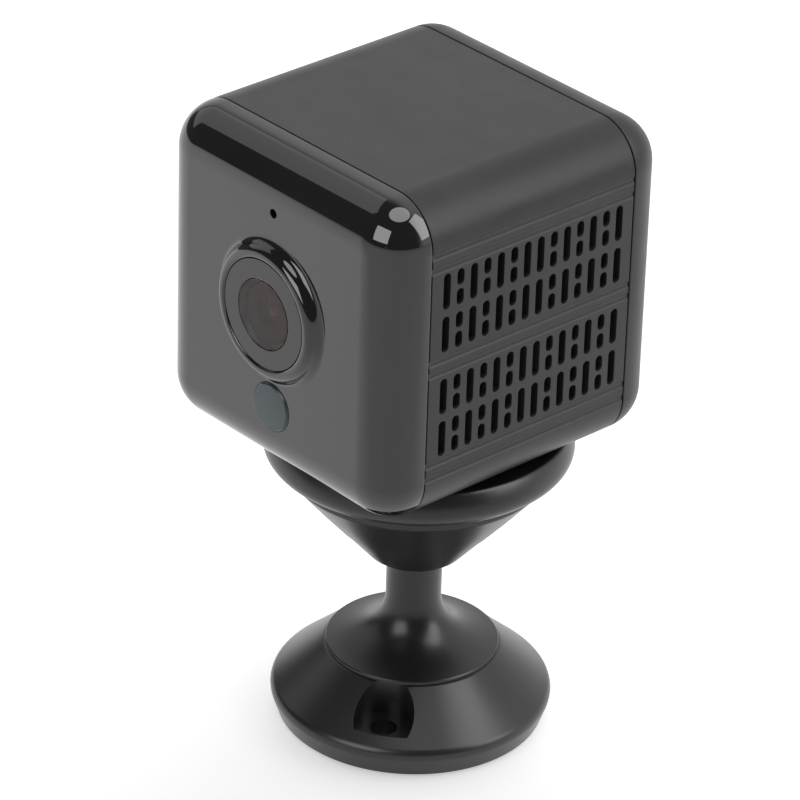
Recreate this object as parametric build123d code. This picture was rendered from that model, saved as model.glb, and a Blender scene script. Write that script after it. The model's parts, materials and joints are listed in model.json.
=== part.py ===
from build123d import *
import os
from math import cos, radians, sin, sqrt

# Small cube camera on a magnetic ball-head stand, in millimetres, +Z up.
# Origin: centre of the foot's underside. The camera looks along -Y.
# Camera pieces are drawn in the camera's own frame (x and y from its middle, z from its
# underside) and are then set on the stand by camera_place.

# ---- driving dimensions: camera ----
camera_width = 40.0
camera_depth = 42.0
camera_height = 40.0
edge_radius = 5.6
end_radius = 5.5
wall = 1.5
front_seam = 5.7
rear_seam = 5.8
seam_gap = 0.14
lip_depth = 2.0
lip_thickness = 0.8
camera_offset_x = -1.0
camera_offset_y = -1.1

# ---- driving dimensions: front ----
lens_height = 21.05
bezel_radius = 8.9
bezel_inner_radius = 6.68
bezel_ledge_radius = 6.2
bezel_proud = 1.4
trim_proud = 1.25
window_radius = 4.2
pir_radius = 2.98
pir_height = 8.95
pir_offset = 0.3
pir_proud = 0.25
pir_edge = 0.24
pinhole_radius = 0.55
pinhole_height = 33.3

# ---- driving dimensions: lens and front board, as heights out of the front face ----
barrel_radius = 3.3
barrel_wall = 0.5
barrel_mouth = 1.9
barrel_throat = 0.8
barrel_front = 0.1
barrel_back = -10.6
board_front = -13.0
sensor_board_thickness = 0.8
sensor_board_posts = [(x, z) for x in (-9.3, 9.3) for z in (-9.3, 9.3)]
front_board_level = -3.4
front_board_thickness = 0.8
led_circle = 9.3
led_count = 6
board_screw_x = 12.4
board_screw_levels = (8.6, 33.0)

# ---- driving dimensions: side vents ----
vent_columns = 14
vent_pitch = 2.0
vent_width = 1.0
vent_length = 4.4
short_vent_length = 1.95
vent_rows = (-9.25, -3.91, 3.91, 9.25)
groove_levels = (-14.0, -12.2, -0.75, 0.75, 12.2, 14.0)
groove_width = 0.6
groove_depth = 0.3

# ---- driving dimensions: rear ----
usb_x = -9.0
card_x = 6.5
card_size = (11.0, 15.0, 0.7)
card_inset = 0.4
card_gap = 0.2
switch_x = -6.0
switch_level = 31.0
switch_travel = 2.0
reset_x = 6.0
reset_radius = 1.25
screw_x = 12.4
screw_low = 14.2
screw_high = 32.4

screw_shank = 0.95
screw_head = 1.9
button_board_back = 15.0
switch_knob = 2.4
switch_knob_height = 1.7
light_radius = 0.75
usb_cavity = (8.34, 2.6)
usb_metal = 0.3
usb_depth = 7.3

# ---- driving dimensions: inside ----
keeper_radius = 12.0
keeper_thickness = 1.0
frame_plate = (-6.8, -5.8)
shelf = (10.4, 11.6)
board_level = 7.6
board_thickness = 0.8
heat_sink_top = 6.0
heat_sink_fins = 8
ribbon_thickness = 0.2
ribbon_width = 3.6

# ---- driving dimensions: stand ----
stand_height = 39.5
foot_radius = 16.8
foot_bottom_radius = 15.9
dish_radius = 10.35
dish_level = 9.2
stem_radius = 3.3
stem_top_of_flare = 16.1
ball_radius = 5.5
ball_level = 25.9
running_gap = 0.05
liner_thickness = 0.8
head_radius = 17.55
ledge_radius = 16.55
ledge_level = 34.7
neck_radius = 15.65
nut_top_level = 33.3
nut_top_radius = 15.5
nut_bottom_level = 21.7
thread_radius = 7.9
pocket_radius = 3.55
pocket_circle = 13.4
pocket_floor = 5.0
pocket_angle = -55.5
wall_hole_radius = 1.6
wall_sink_radius = 2.9
wall_sink_depth = 1.3
foot_screw_radius = 1.6
foot_screw_top = 12.0
foot_level = 0.3
foot_pad_radius = 15.2
foot_pad_top = 0.88
magnet_radius = 9.0
foot_magnet_top = 4.1
spigot_radius = 4.0
spigot_level = 6.0
rim_drop = 0.2
grip_pad_radius = 14.9
grip_pad_depth = 1.0
head_magnet_radius = 11.0
head_magnet_bottom = 35.4

# ---- worked out from these ----
half_width = camera_width / 2
half_depth = camera_depth / 2
half_height = camera_height / 2
front_joint = -half_depth + front_seam
rear_joint = half_depth - rear_seam
rear_inside = half_depth - wall
socket_radius = ball_radius + liner_thickness + 2 * running_gap
camera_place = Pos(camera_offset_x, camera_offset_y, stand_height)
board_top = board_level + board_thickness
usb_level = board_top + 1.63
card_level = board_top + 0.75
rim_level = stand_height - rim_drop
pad_bottom = stand_height - grip_pad_depth


# ---- drawing helpers ----
def block(x_span, y_span, z_span):
    """A box between two values on each axis."""
    size = [span[1] - span[0] for span in (x_span, y_span, z_span)]
    middle = [(span[1] + span[0]) / 2 for span in (x_span, y_span, z_span)]
    return Pos(*middle) * Box(*size)


def turned(points):
    """A ring or disc turned about Z from a closed outline of (radius, height) points."""
    return revolve(make_face(Plane.XZ * Polyline(*points, close=True)), Axis.Z)


def rod(radius, bottom, top):
    return Pos(0, 0, (bottom + top) / 2) * Cylinder(radius, top - bottom)


def on_front(x, z):
    """Heights along +Z become distances out of the front face."""
    return Pos(x, -half_depth, z) * Rot(90, 0, 0)


def on_rear(x, z):
    """Heights along +Z become distances out of the rear face."""
    return Pos(x, half_depth, z) * Rot(-90, 0, 0)


def camera_form(inset):
    """The camera's whole rounded form, drawn in by inset on every side."""
    form = Box(camera_width - 2 * inset, camera_depth - 2 * inset, camera_height - 2 * inset)
    form = fillet(form.edges().filter_by(Axis.Y), edge_radius - inset)
    form = fillet(form.faces().sort_by(Axis.Y)[0].edges(), end_radius - inset)
    form = fillet(form.faces().sort_by(Axis.Y)[-1].edges(), end_radius - inset)
    return Pos(0, 0, half_height) * form


def slice_y(shape, y_from, y_to):
    """The part of shape between two y values."""
    reach = camera_width
    return shape & block((-reach, reach), (y_from, y_to), (-reach, 2 * reach))


def corner_points():
    return [(sx * screw_x, z) for sx in (-1, 1) for z in (screw_low, screw_high)]


# ---- camera shells ----
def make_front_panel():
    panel = slice_y(camera_form(0) - camera_form(wall), -half_depth, front_joint - seam_gap / 2)
    lip = camera_form(wall + 0.1) - camera_form(wall + 0.1 + lip_thickness)
    panel += slice_y(lip, front_joint - lip_depth, front_joint + lip_depth)
    panel += slice_y(camera_form(wall - 0.1) - camera_form(wall + 0.3),
                     front_joint - lip_depth, front_joint - seam_gap / 2)
    panel -= on_front(0, lens_height) * rod(bezel_inner_radius + 0.55, -3, 3)
    panel -= on_front(pir_offset, pir_height) * rod(pir_radius + 0.06, -3, 3)
    panel -= on_front(0, pinhole_height) * rod(pinhole_radius, -3, 3)
    return panel


def vent_slot(length):
    """One vent's outline, standing upright."""
    return SlotOverall(length, vent_width, rotation=90)


def vent_cutters():
    """The vents of one side wall: long slots and pairs of short ones by turns, in two mirrored halves."""
    outlines = []
    half_count = vent_columns // 2
    for row in vent_rows:
        for column in range(vent_columns):
            y = (column - (vent_columns - 1) / 2) * vent_pitch
            if column % half_count % 2 == 0:
                outlines.append(Pos(y, row) * vent_slot(vent_length))
            else:
                offset = (vent_length - short_vent_length) / 2
                outlines += [Pos(y, row + side * offset) * vent_slot(short_vent_length)
                             for side in (-1, 1)]
    return Pos(0, 0, half_height) * extrude(Plane.YZ * Sketch(children=outlines), camera_width, both=True)


def groove_cutters():
    """The shallow V grooves along both side walls."""
    length = rear_joint - front_joint + 2
    cutters = []
    for side in (-1, 1):
        for level in groove_levels:
            tip = side * (half_width - groove_depth)
            mouth = side * (half_width + 0.1)
            outline = Polyline((tip, level), (mouth, level + groove_width / 2),
                               (mouth, level - groove_width / 2), close=True)
            cutter = extrude(make_face(Plane.XZ * outline), length / 2, both=True)
            cutters.append(Pos(0, 0, half_height) * cutter)
    return cutters


def make_main_housing():
    tube = slice_y(camera_form(0) - camera_form(wall), front_joint + seam_gap / 2, rear_joint - seam_gap / 2)
    tube += rod(keeper_radius + 1.2, wall / 2, wall + 0.8)
    tube -= rod(keeper_radius + running_gap, -1, keeper_thickness)
    tube -= vent_cutters()
    for cutter in groove_cutters():
        tube -= cutter
    return tube


def make_rear_cover():
    cover = slice_y(camera_form(0) - camera_form(wall), rear_joint + seam_gap / 2, half_depth)
    lip = camera_form(wall + 0.1) - camera_form(wall + 0.1 + lip_thickness)
    cover += slice_y(lip, rear_joint - lip_depth, rear_joint + lip_depth)
    cover += slice_y(camera_form(wall - 0.1) - camera_form(wall + 0.3),
                     rear_joint + seam_gap / 2, rear_joint + lip_depth)
    for x in (-9.3, 9.3):
        for z in (27.4, 34.6):
            cover += block((x - 0.7, x + 0.7), (button_board_back, rear_inside + 0.2), (z - 0.7, z + 0.7))
    for x, z in corner_points():
        cover += on_rear(x, z) * rod(2.4, -wall - 0.6, -wall + 0.2)
        cover -= on_rear(x, z) * rod(screw_shank + 0.15, -6, 1)
        cover -= on_rear(x, z) * Pos(0, 0, -0.55) * Cone(screw_shank, screw_head + 0.15, 1.3)
    usb_mouth = SlotOverall(9.1, 3.4)
    cover -= on_rear(usb_x, usb_level) * extrude(usb_mouth, 4, both=True)
    card_mouth = Rectangle(card_size[0] + 2 * card_gap, card_size[2] + 2 * card_gap)
    cover -= on_rear(card_x, card_level) * extrude(card_mouth, 4, both=True)
    thumb_notch = Pos(0, 0, 2.2) * Sphere(3.2)
    cover -= on_rear(card_x, card_level) * thumb_notch
    slot_length = switch_knob + switch_travel + 0.6
    switch_slot = Rectangle(slot_length, switch_knob_height + 0.4)
    middle = switch_x + switch_travel / 2
    cover -= on_rear(middle, switch_level) * extrude(switch_slot, 4, both=True)
    recess = Rectangle(slot_length + 2.4, switch_knob_height + 2.0)
    cover -= on_rear(middle, switch_level) * Pos(0, 0, -0.6) * extrude(recess, 2)
    cover -= on_rear(reset_x, switch_level) * rod(reset_radius + 0.08, -3, 1)
    cover -= on_rear(0, switch_level) * rod(light_radius + 0.03, -3, 1)
    return cover


def make_keeper_disc():
    """Steel disc in the underside, which the stand's magnet holds."""
    return rod(keeper_radius, 0, keeper_thickness - 0.02)


# ---- lens group ----
def make_lens_bezel():
    ledge = 0.2
    rise = 1.15
    foot_edge = 0.06
    collar = bezel_inner_radius + 0.5
    crest = (7.15, bezel_proud)
    flank = (8.15, bezel_proud / 2)
    foot = (bezel_radius, foot_edge)
    path = Polyline((bezel_inner_radius, rise), (bezel_inner_radius, ledge), (bezel_ledge_radius, ledge),
                    (bezel_ledge_radius, -wall), (collar, -wall), (collar, 0), (bezel_radius, 0), foot)
    hollow = Bezier(foot, (8.4, foot_edge), flank)
    outer = Bezier(flank, (7.8, bezel_proud), crest)
    inner = Bezier(crest, (bezel_inner_radius + 0.1, bezel_proud), (bezel_inner_radius, rise))
    return on_front(0, lens_height) * revolve(make_face(Plane.XZ * (path + hollow + outer + inner)), Axis.Z)


def make_lens_trim():
    outline = [(bezel_inner_radius - 0.05, 0.2), (bezel_inner_radius - 0.05, trim_proud - 0.1),
               (bezel_inner_radius - 0.15, trim_proud), (window_radius + 0.06, trim_proud),
               (window_radius + 0.06, 0.35), (3.75, 0.35), (3.75, 0.2)]
    return on_front(0, lens_height) * turned(outline)


def make_lens_window():
    edge = 0.08
    outline = [(0, 0.36), (window_radius, 0.36), (window_radius, trim_proud - edge),
               (window_radius - edge, trim_proud), (0, trim_proud)]
    return on_front(0, lens_height) * turned(outline)


def make_lens_barrel():
    inside = barrel_radius - barrel_wall
    outline = [(barrel_throat, barrel_front - 0.7), (barrel_mouth, barrel_front),
               (barrel_radius, barrel_front),
               (barrel_radius, barrel_front - 1.6), (inside, barrel_front - 1.6), (inside, barrel_back),
               (barrel_mouth, barrel_back), (barrel_mouth, barrel_back + 2.6),
               (barrel_throat, barrel_back + 2.6)]
    return on_front(0, lens_height) * turned(outline)


def domed_glass(radius, flat_level, dome_level, dome_radius):
    """A glass disc, flat on one side and domed on the other."""
    low, high = sorted((flat_level, dome_level))
    centre = dome_level - dome_radius if dome_level > flat_level else dome_level + dome_radius
    return rod(radius, low, high) & Pos(0, 0, centre) * Sphere(dome_radius)


def make_front_element():
    """Domed front glass inside the barrel's mouth."""
    glass = domed_glass(barrel_throat - 0.02, barrel_front - 2.5, barrel_front - 0.5, 1.2)
    return on_front(0, lens_height) * glass


def make_rear_element():
    return on_front(0, lens_height) * domed_glass(1.85, barrel_back + 2.5, barrel_back + 1.0, 5.0)


def make_lens_holder():
    base = extrude(Rectangle(9.5, 9.5), 2.2)
    holder = Pos(0, 0, board_front) * base + rod(4.3, board_front + 2.0, -5.2)
    holder -= rod(barrel_radius - 0.45, board_front + 1.9, -5)
    holder -= Pos(0, 0, board_front - 0.01) * extrude(Rectangle(7.0, 7.0), 1.9)
    return on_front(0, lens_height) * holder


def make_ir_filter():
    return on_front(0, lens_height) * Pos(0, 0, board_front + 1.55) * Box(5.6, 5.6, 0.3)


def make_image_sensor():
    package = Pos(0, 0, board_front + 0.35) * Box(6.0, 5.2, 0.7)
    cover_glass = Pos(0, 0, board_front + 0.8) * Box(5.2, 4.4, 0.2)
    return on_front(0, lens_height) * (package + cover_glass)


def make_sensor_board():
    board = extrude(RectangleRounded(22.0, 22.0, 1.5), -sensor_board_thickness)
    for x, y in sensor_board_posts:
        board -= Pos(x, y, 0) * rod(0.9, -2, 2)
    return on_front(0, lens_height) * Pos(0, 0, board_front) * board


# ---- front board and what it carries ----
def make_front_board():
    y_far = -half_depth - front_board_level + front_board_thickness
    y_near = -half_depth - front_board_level
    board = block((-14.4, 14.4), (y_near, y_far), (5.6, 36.4))
    board = fillet(board.edges().filter_by(Axis.Y), 2.0)
    board -= on_front(0, lens_height) * rod(5.0, -6, 0)
    for x in (-board_screw_x, board_screw_x):
        for z in board_screw_levels:
            board -= on_front(x, z) * rod(1.0, -6, 0)
    return board


def make_ir_leds():
    """Infrared lamps round the lens, behind the dark front panel."""
    lamps = []
    for index in range(led_count):
        angle = radians(-20 + 220 * index / (led_count - 1))
        x = led_circle * cos(angle)
        z = lens_height + led_circle * sin(angle)
        base = Pos(0, 0, front_board_level + 0.35) * Box(2.0, 1.6, 0.7)
        dome = Pos(0, 0, front_board_level + 0.7) * Sphere(0.6)
        lamps.append(on_front(x, z) * (base + dome))
    return Compound(children=lamps)


def make_pir_lens():
    """Blue-grey lens of the movement sensor, held by a flange behind the panel."""
    outline = [(0, -0.7), (2.5, -0.7), (2.5, -wall - 0.5), (pir_radius + 0.6, -wall - 0.5),
               (pir_radius + 0.6, -wall - 0.02), (pir_radius, -wall - 0.02),
               (pir_radius, pir_proud - pir_edge),
               (pir_radius - pir_edge, pir_proud), (0, pir_proud)]
    return on_front(pir_offset, pir_height) * turned(outline)


def make_pir_sensor():
    can = rod(2.3, front_board_level, -2.1)
    window = Pos(0, 0, -2.1) * Box(1.9, 1.5, 0.3)
    return on_front(pir_offset, pir_height) * (can + window)


def make_microphone():
    body = Pos(0, 0, front_board_level + 0.5) * Box(3.5, 2.65, 1.0)
    return on_front(0, pinhole_height) * (body - rod(0.3, front_board_level + 0.6, 0))


def make_mic_gasket():
    ring = rod(1.6, front_board_level + 1.0, -wall - 0.02) - rod(0.7, -4, 0)
    return on_front(0, pinhole_height) * ring


def make_board_screws():
    screws = []
    for x in (-board_screw_x, board_screw_x):
        for z in board_screw_levels:
            head = fillet(rod(1.5, 0, 0.8).edges().sort_by(Axis.Z)[-1:], 0.3)
            head -= Pos(0, 0, 0.7) * (Box(1.8, 0.35, 0.5) + Box(0.35, 1.8, 0.5))
            screw = head + rod(0.8, -5.0, 0)
            screws.append(on_front(x, z) * Pos(0, 0, front_board_level) * screw)
    return Compound(children=screws)


# ---- inner frame and battery ----
def make_inner_frame():
    frame = block((-15.4, 15.4), frame_plate, (3.4, 36.8))
    frame = fillet(frame.edges().filter_by(Axis.Y), 3.0)
    frame += block((-14.6, 14.6), (frame_plate[0], 8.6), shelf)
    for side in (-1, 1):
        inner = side * 14.0
        outer = side * 15.0
        frame += block(sorted((inner, outer)), (frame_plate[0], 6.0), (shelf[0], 24.0))
        for z in (screw_low, screw_high):
            frame += block(sorted((side * 13.4, outer)), (frame_plate[0], 18.0), (z - 1.6, z + 1.6))
    for x, z in corner_points():
        frame += Pos(x, 0, z) * Rot(-90, 0, 0) * rod(2.0, 5.4, rear_inside - 0.65)
        frame -= Pos(x, 0, z) * Rot(-90, 0, 0) * rod(screw_shank + running_gap, 6.5, half_depth)
    board_back = -half_depth - front_board_level + front_board_thickness
    for x in (-board_screw_x, board_screw_x):
        for z in board_screw_levels:
            frame += Pos(x, 0, z) * Rot(-90, 0, 0) * rod(1.9, board_back, frame_plate[1])
            frame -= Pos(x, 0, z) * Rot(-90, 0, 0) * rod(0.85, board_back - 1, board_back + 6)
    sensor_board_back = -half_depth - board_front + sensor_board_thickness
    for x, z in sensor_board_posts:
        frame += Pos(x, 0, lens_height + z) * Rot(-90, 0, 0) * rod(1.4, sensor_board_back, frame_plate[1])
    frame -= block((-6.0, 6.0), (-8.0, -5.0), (board_top, board_top + 1.4))
    return frame


def make_battery():
    cell = block((-12.2, 12.2), (-5.4, 4.8), (shelf[1] + 0.3, 36.0))
    return fillet(cell.edges(), 1.2)


def make_battery_pads():
    """Foam strips that keep the battery off the frame."""
    level = (shelf[1], shelf[1] + 0.28)
    return Compound(children=[block((x - 3, x + 3), (-5.3, 4.6), level) for x in (-8, 8)])


# ---- main board and what it carries ----
def make_main_board():
    board = block((-14.8, 14.8), (-5.2, 18.9), (board_level, board_top))
    return fillet(board.edges().filter_by(Axis.Z), 1.0)


def make_processor_chip():
    chip = block((-5, 5), (0, 10), (board_level - 1.0, board_level))
    return chamfer(chip.edges().group_by(Axis.Z)[0], 0.2)


def make_thermal_pad():
    return block((-4.8, 4.8), (0.2, 9.8), (heat_sink_top, board_level - 1.0))


def make_heat_sink():
    """Finned aluminium plate under the processor; the fins run across, towards the vents."""
    sink = block((-9, 9), (-3, 13), (heat_sink_top - 1.2, heat_sink_top))
    for index in range(heat_sink_fins):
        y = -3 + 0.4 + index * (16 - 0.8) / (heat_sink_fins - 1)
        sink += block((-9, 9), (y - 0.4, y + 0.4), (2.6, heat_sink_top - 1.1))
    return sink


def make_memory_chip():
    chip = block((2.5, 10.5), (-4.4, 3.4), (board_top, board_top + 0.9))
    return chamfer(chip.edges().group_by(Axis.Z)[-1], 0.2)


def make_wifi_module():
    shield = block((-13.0, -2.2), (-4.4, 8.0), (board_top, board_top + 1.7))
    return fillet(shield.edges().group_by(Axis.Z)[-1], 0.4)


def make_wifi_antenna():
    """Thin antenna strip stuck inside the top wall."""
    return block((-10, 10), (-5, 1), (38.25, 38.45))


def make_usb_port():
    """Receptacle with its tongue, set back a little behind the rear wall."""
    width, height = usb_cavity
    shell = extrude(SlotOverall(width + 2 * usb_metal, height + 2 * usb_metal), usb_depth)
    shell += Pos(0, 1.2, 1.6) * Box(9.6, 0.8, 1.2)
    cavity = Pos(0, 0, 0.8) * extrude(SlotOverall(width, height), usb_depth)
    tongue = Pos(0, 0, 3.3) * Box(6.7, 0.7, 5.6)
    return on_rear(usb_x, usb_level) * Pos(0, 0, -8.2) * (shell - cavity + tongue)


def make_card_socket():
    socket = block((card_x - 7, card_x + 7), (4.4, 18.9), (board_top, board_top + 1.5))
    half = card_size[0] / 2 + card_gap
    slot = block((card_x - half, card_x + half), (5.2, 20), (card_level - 0.5, card_level + 0.5))
    return socket - slot


def make_memory_card():
    width, length, thickness = card_size
    back = half_depth - card_inset
    card = block((card_x - width / 2, card_x + width / 2), (back - length, back),
                 (card_level - thickness / 2, card_level + thickness / 2))
    corners = card.edges().filter_by(Axis.Z)
    card = fillet(corners, 0.6)
    card += block((card_x - 4.4, card_x + 4.4), (back - 0.7, back),
                  (card_level - thickness / 2, card_level + thickness / 2 + 0.12))
    return card


# ---- rear controls ----
def make_button_board():
    board = block((-10.2, 10.2), (button_board_back - 0.8, button_board_back - 0.02), (26.4, 35.6))
    return fillet(board.edges().filter_by(Axis.Y), 0.8)


def make_slide_switch():
    middle = switch_x + switch_travel / 2
    body = block((middle - 3.6, middle + 3.6), (button_board_back, 18.2),
                 (switch_level - 1.6, switch_level + 1.6))
    half = (switch_knob + switch_travel) / 2 + 0.2
    slot = block((middle - half, middle + half), (16.4, 19), (switch_level - 1.0, switch_level + 1.0))
    return body - slot


def make_power_switch():
    """The sliding knob, with ribs for the fingertip."""
    x_from = switch_x - switch_knob / 2
    half = switch_knob_height / 2
    knob = block((x_from, x_from + switch_knob), (16.6, 21.5), (switch_level - half, switch_level + half))
    for index in range(3):
        x = x_from + 0.6 + index * 0.6
        knob -= block((x - 0.14, x + 0.14), (21.2, 22), (switch_level - 2, switch_level + 2))
    return knob


def make_reset_button():
    plunger = rod(reset_radius, -4.0, -0.1)
    plunger = fillet(plunger.edges().sort_by(Axis.Z)[-1:], 0.25)
    flange = rod(reset_radius + 0.55, -2.5, -wall - 0.05)
    return on_rear(reset_x, switch_level) * (plunger + flange)


def make_reset_switch():
    body = Pos(0, 0, -5.5) * Box(3.4, 3.4, 0.98) + rod(0.8, -5.1, -4.5)
    return on_rear(reset_x, switch_level) * body


def make_status_led():
    return on_rear(0, switch_level) * Pos(0, 0, -5.65) * Box(1.6, 0.8, 0.68)


def make_status_light():
    pipe = rod(light_radius, -4.6, -0.02)
    return on_rear(0, switch_level) * (pipe + rod(1.3, -2.2, -wall - 0.03))


def make_speaker():
    frame = block((-7.5, 7.5), (9.2, 12.4), (20.0, 31.0))
    frame = fillet(frame.edges().filter_by(Axis.Y), 1.5)
    cone = Cone(3.6, 2.6, 0.8, align=(Align.CENTER, Align.CENTER, Align.MIN))
    cone = Pos(0, 12.4, 25.5) * Rot(-90, 0, 0) * cone
    return frame + cone


def make_housing_screws():
    screws = []
    for x, z in corner_points():
        head = Pos(0, 0, -0.6) * Cone(screw_shank, screw_head, 1.1)
        screw = head + rod(screw_shank, -11.5, -1.1)
        screw -= Pos(0, 0, -0.2) * (Box(2.4, 0.45, 0.9) + Box(0.45, 2.4, 0.9))
        screws.append(on_rear(x, z) * screw)
    return Compound(children=screws)


# ---- soft pieces held inside ----
def make_vent_screens():
    """Dust cloth behind the vents of both side walls."""
    inside = half_width - wall - 0.05
    span = vent_columns * vent_pitch / 2 + 0.2
    return Compound(children=[
        block(sorted((side * (inside - 0.25), side * inside)), (-span + 1.0, span - 1.0), (7.5, 32.5))
        for side in (-1, 1)])


def lead(points, radius, bends):
    """A round wire along straight runs joined by arcs."""
    path = FilletPolyline(*points, radius=bends)
    start = Plane(origin=path @ 0, z_dir=path % 0)
    return sweep(start * Circle(radius), path=path)


def make_battery_plug():
    return block((-11.4, -6.6), (9.2, 12.6), (board_top, board_top + 2.4))


def make_battery_leads():
    wires = []
    for x in (-9.7, -8.3):
        points = [(x, 4.85, 31.0), (x, 7.4, 31.0), (x, 7.4, 17.0), (x, 10.9, 13.5),
                  (x, 10.9, board_top + 2.45)]
        wires.append(lead(points, 0.4, [1.4, 1.6, 1.5]))
    return Compound(children=wires)


def make_speaker_leads():
    wires = []
    for x in (5.0, 6.4):
        points = [(x, 10.8, 19.95), (x, 10.8, 16.5), (x + 3.2, 13.0, 13.6), (x + 3.2, 13.0, board_top + 1.55)]
        wires.append(lead(points, 0.3, [1.2, 1.2]))
    return Compound(children=wires)


def make_ribbon_cable():
    """Flat cable from the sensor board down and back to the main board."""
    back = -half_depth - board_front + sensor_board_thickness
    level = board_top + 0.35
    path = FilletPolyline((back + 0.15, 14.6), (back + 0.15, level), (-3.2, level), radius=0.45)
    return extrude(Plane.YZ * trace(path, ribbon_thickness), ribbon_width / 2, both=True)


# ---- stand ----
def make_foot():
    outline = (Polyline((0, foot_level), (foot_bottom_radius, foot_level), (foot_radius - 0.1, 2.6))
               + Bezier((foot_radius - 0.1, 2.6), (foot_radius + 0.15, 3.5), (foot_radius - 0.5, 4.1))
               + Polyline((foot_radius - 0.5, 4.1), (dish_radius + 0.15, dish_level), (0, dish_level),
                          (0, foot_level)))
    foot = revolve(make_face(Plane.XZ * outline), Axis.Z)
    foot -= rod(foot_pad_radius + running_gap, 0, foot_pad_top + 0.02)
    foot -= rod(magnet_radius + running_gap, 0, foot_magnet_top)
    foot -= rod(foot_screw_radius + 0.1, 0, 10)
    foot -= rod(spigot_radius + running_gap, spigot_level - 0.1, 10)
    for x, y in pocket_centres():
        foot -= Pos(x, y, 0) * rod(pocket_radius, pocket_floor, 12)
        foot -= Pos(x, y, 0) * rod(wall_hole_radius, -1, 12)
        sink = Cone(wall_hole_radius, wall_sink_radius, wall_sink_depth,
                    align=(Align.CENTER, Align.CENTER, Align.MAX))
        foot -= Pos(x, y, pocket_floor + 0.01) * sink
    return foot


def pocket_centres():
    """The two screw pockets, opposite each other."""
    angles = (radians(pocket_angle), radians(pocket_angle + 180))
    return [(pocket_circle * cos(a), pocket_circle * sin(a)) for a in angles]


def make_foot_pad():
    """Rubber disc under the foot, with openings for the two wall screws."""
    pad = rod(foot_pad_radius, 0, foot_pad_top)
    for x, y in pocket_centres():
        pad -= Pos(x, y, 0) * rod(wall_hole_radius + 0.3, -1, 2)
    return pad


def make_foot_magnet():
    return rod(magnet_radius, foot_pad_top + 0.04, foot_magnet_top - 0.02) - rod(3.6, 0, 6)


def make_foot_screw():
    """Screw that holds the stem on the foot."""
    head = rod(2.8, 2.1, foot_magnet_top - 0.02)
    screw = head + rod(foot_screw_radius, foot_magnet_top - 0.1, foot_screw_top)
    return screw - Pos(0, 0, 2.1) * extrude(RegularPolygon(1.4, 6), 1.2)


def make_ball_stem():
    """Ball, stem and flared dish in one turned piece."""
    start = ball_level - sqrt(ball_radius ** 2 - stem_radius ** 2)
    outline = (ThreePointArc((0, ball_level + ball_radius), (ball_radius, ball_level), (stem_radius, start))
               + Line((stem_radius, start), (stem_radius, stem_top_of_flare))
               + Bezier((stem_radius, stem_top_of_flare), (stem_radius, 10.9),
                        (dish_radius - 0.1, dish_level + 0.45))
               + Polyline((dish_radius - 0.1, dish_level + 0.45), (dish_radius, dish_level + 0.35),
                          (dish_radius, dish_level + 0.02), (spigot_radius, dish_level + 0.02),
                          (spigot_radius, spigot_level), (0, spigot_level), (0, ball_level + ball_radius)))
    stem = revolve(make_face(Plane.XZ * outline), Axis.Z)
    return stem - rod(foot_screw_radius + running_gap, 0, foot_screw_top + 0.5)


def make_ball_liner():
    """Friction shell round the ball, open at the top and where the stem comes out."""
    inner = ball_radius + running_gap
    outer = inner + liner_thickness
    shell = Sphere(outer) - Sphere(inner)
    shell &= rod(outer + 1, -3.6, 4.4)
    return Pos(0, 0, ball_level) * shell


def make_head_shell():
    wall_curve = Bezier((head_radius, rim_level - 0.25), (19.3, ledge_level + 1.2),
                        (ledge_radius, ledge_level))
    outline = (Polyline((0, rim_level), (head_radius - 0.25, rim_level), (head_radius, rim_level - 0.25))
               + wall_curve
               + Polyline((ledge_radius, ledge_level), (neck_radius, ledge_level),
                          (neck_radius, nut_top_level + 0.1),
                          (thread_radius, nut_top_level + 0.1), (thread_radius, ball_level + 0.4),
                          (0, ball_level + 0.4), (0, rim_level)))
    shell = revolve(make_face(Plane.XZ * outline), Axis.Z)
    shell -= rod(grip_pad_radius + 0.1, pad_bottom, stand_height + 1)
    shell -= rod(head_magnet_radius + running_gap, head_magnet_bottom, stand_height)
    return shell - Pos(0, 0, ball_level) * Sphere(socket_radius)


def make_head_magnet():
    disc = rod(head_magnet_radius, head_magnet_bottom + 0.02, pad_bottom - 0.02)
    return chamfer(disc.edges(), 0.25)


def make_grip_pad():
    pad = rod(grip_pad_radius, pad_bottom, stand_height)
    return fillet(pad.edges().sort_by(Axis.Z)[-1:], 0.3)


def make_lock_nut():
    """Cone nut that squeezes the ball; its thread is drawn as a plain running fit."""
    # the mouth meets the stem when the head has tilted 18 degrees
    bottom_mouth = sqrt(socket_radius ** 2 - (ball_level - nut_bottom_level - 0.05) ** 2)
    outline = [(thread_radius + running_gap, nut_top_level), (nut_top_radius - 0.15, nut_top_level),
               (nut_top_radius, nut_top_level - 0.2), (12.3, 29.45), (9.6, 26.35), (9.45, 26.25),
               (5.85, 22.15), (5.45, nut_bottom_level + 0.1), (5.25, nut_bottom_level),
               (bottom_mouth - 0.1, nut_bottom_level), (bottom_mouth - 0.1, ball_level),
               (thread_radius + running_gap, ball_level)]
    return turned(outline) - Pos(0, 0, ball_level) * Sphere(socket_radius)


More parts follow.
